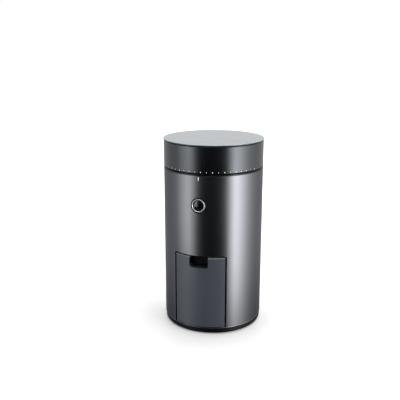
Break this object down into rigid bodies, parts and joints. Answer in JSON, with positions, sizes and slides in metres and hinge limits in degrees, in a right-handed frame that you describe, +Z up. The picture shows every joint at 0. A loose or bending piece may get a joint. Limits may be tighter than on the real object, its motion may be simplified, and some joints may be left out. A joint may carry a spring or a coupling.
{
  "type": "burr coffee grinder",
  "caption": "Cylindrical electric burr coffee grinder with a lift-off hopper and lid, turn-to-set flat burrs, front button and pull-out grounds bin.",
  "frame": {"origin": "on the counter, under the centre of the round body", "axes": "+Z up along the body and burr axis, -Y towards the button and the bin at the front, +X to the right as seen from the front"},
  "size_m": [0.133, 0.133, 0.2516],
  "materials": {
    "anodised_black": "black anodised aluminium, satin gloss",
    "matt_black": "fine satin moulding",
    "gloss_black": "high gloss moulding",
    "bin_grey": "satin dark grey",
    "lid_grey": "satin grey",
    "cover_grey": "smooth satin gloss",
    "bare_aluminium": "turned and brushed round",
    "cast_grey": "die cast",
    "steel": "machined",
    "chrome": "polished",
    "rubber": "soft matt",
    "nylon": "natural nylon",
    "circuit": "board lacquer",
    "white": "printed white"
  },
  "bodies": {
    "housing": {"body_shell": "anodised_black", "rim_trim": "gloss_black", "pointer_mark": "white", "base_tray": "matt_black", "bottom_cover": "matt_black", "foot_1": "rubber", "foot_2": "rubber", "foot_3": "rubber", "foot_4": "rubber", "cord_bush": "rubber", "bin_bay": "gloss_black", "bay_magnet": "steel", "gear_plate": "cast_grey", "chassis_plate": "cast_grey", "deck_post_1": "steel", "deck_post_2": "steel", "deck_post_3": "steel", "deck_post_4": "steel", "frame_post_1": "steel", "frame_post_2": "steel", "burr_chamber": "matt_black", "grounds_duct": "matt_black", "top_deck": "gloss_black", "detent_finger": "steel", "control_board": "circuit", "lower_bearing": "steel", "upper_bearing": "steel", "motor_can": "cast_grey", "motor_end_cap": "matt_black", "button_bezel": "gloss_black", "button_ring": "chrome", "button_housing": "matt_black", "button_switch": "matt_black"},
    "rotor": {"motor_shaft": "steel", "motor_pinion": "steel"},
    "burr_drive": {"spindle": "steel", "drive_gear": "nylon", "lower_carrier": "cast_grey", "burr_nut": "steel", "lower_burr": "steel", "lower_burr_screw_1": "steel", "lower_burr_screw_2": "steel", "lower_burr_screw_3": "steel"},
    "thread_lift": {"lift_ring": "cast_grey"},
    "collar": {"adjusting_collar": "matt_black"},
    "hopper": {"hopper_bowl": "matt_black", "hopper_hub": "matt_black", "thread_ring": "cast_grey", "burr_sleeve": "bare_aluminium", "upper_burr": "steel", "upper_burr_screw_1": "steel", "upper_burr_screw_2": "steel", "upper_burr_screw_3": "steel"},
    "lid": {"lid_disc": "cover_grey", "lid_rim": "gloss_black"},
    "bin": {"bin_shell": "bin_grey", "bin_lid": "lid_grey"},
    "button": {"button_cap": "gloss_black"}
  },
  "joints": [
    {"name": "spindle_spin", "type": "hinge", "parent": "housing", "child": "burr_drive", "pos_m": [0, 0, 0.13], "axis": [0, 0, 1], "continuous": true},
    {"name": "motor_spin", "type": "hinge", "parent": "housing", "child": "rotor", "pos_m": [0, 0.033, 0.12], "axis": [0, 0, 1], "continuous": true},
    {"name": "burr_gap", "type": "slide", "parent": "housing", "child": "thread_lift", "axis": [0, 0, 1], "range_m": [-0.00032, 0.0009]},
    {"name": "grind_turn", "type": "hinge", "parent": "thread_lift", "child": "collar", "pos_m": [0, 0, 0.195], "axis": [0, 0, -1], "range_deg": [-194, 68]},
    {"name": "hopper_lift", "type": "slide", "parent": "collar", "child": "hopper", "axis": [0, 0, 1], "range_m": [0, 0.082]},
    {"name": "lid_lift", "type": "slide", "parent": "hopper", "child": "lid", "axis": [0, 0, 1], "range_m": [0, 0.0425]},
    {"name": "bin_slide", "type": "slide", "parent": "housing", "child": "bin", "axis": [0, -1, 0], "range_m": [0, 0.096]},
    {"name": "button_press", "type": "slide", "parent": "housing", "child": "button", "axis": [0, 1, 0], "range_m": [0, 0.0015], "stiffness_N_per_m": 600}
  ],
  "couplings": [
    {"joint": "motor_spin", "follows": "spindle_spin", "ratio": -3.5455},
    {"joint": "burr_gap", "follows": "grind_turn", "m_per_rad": -0.000262}
  ]
}
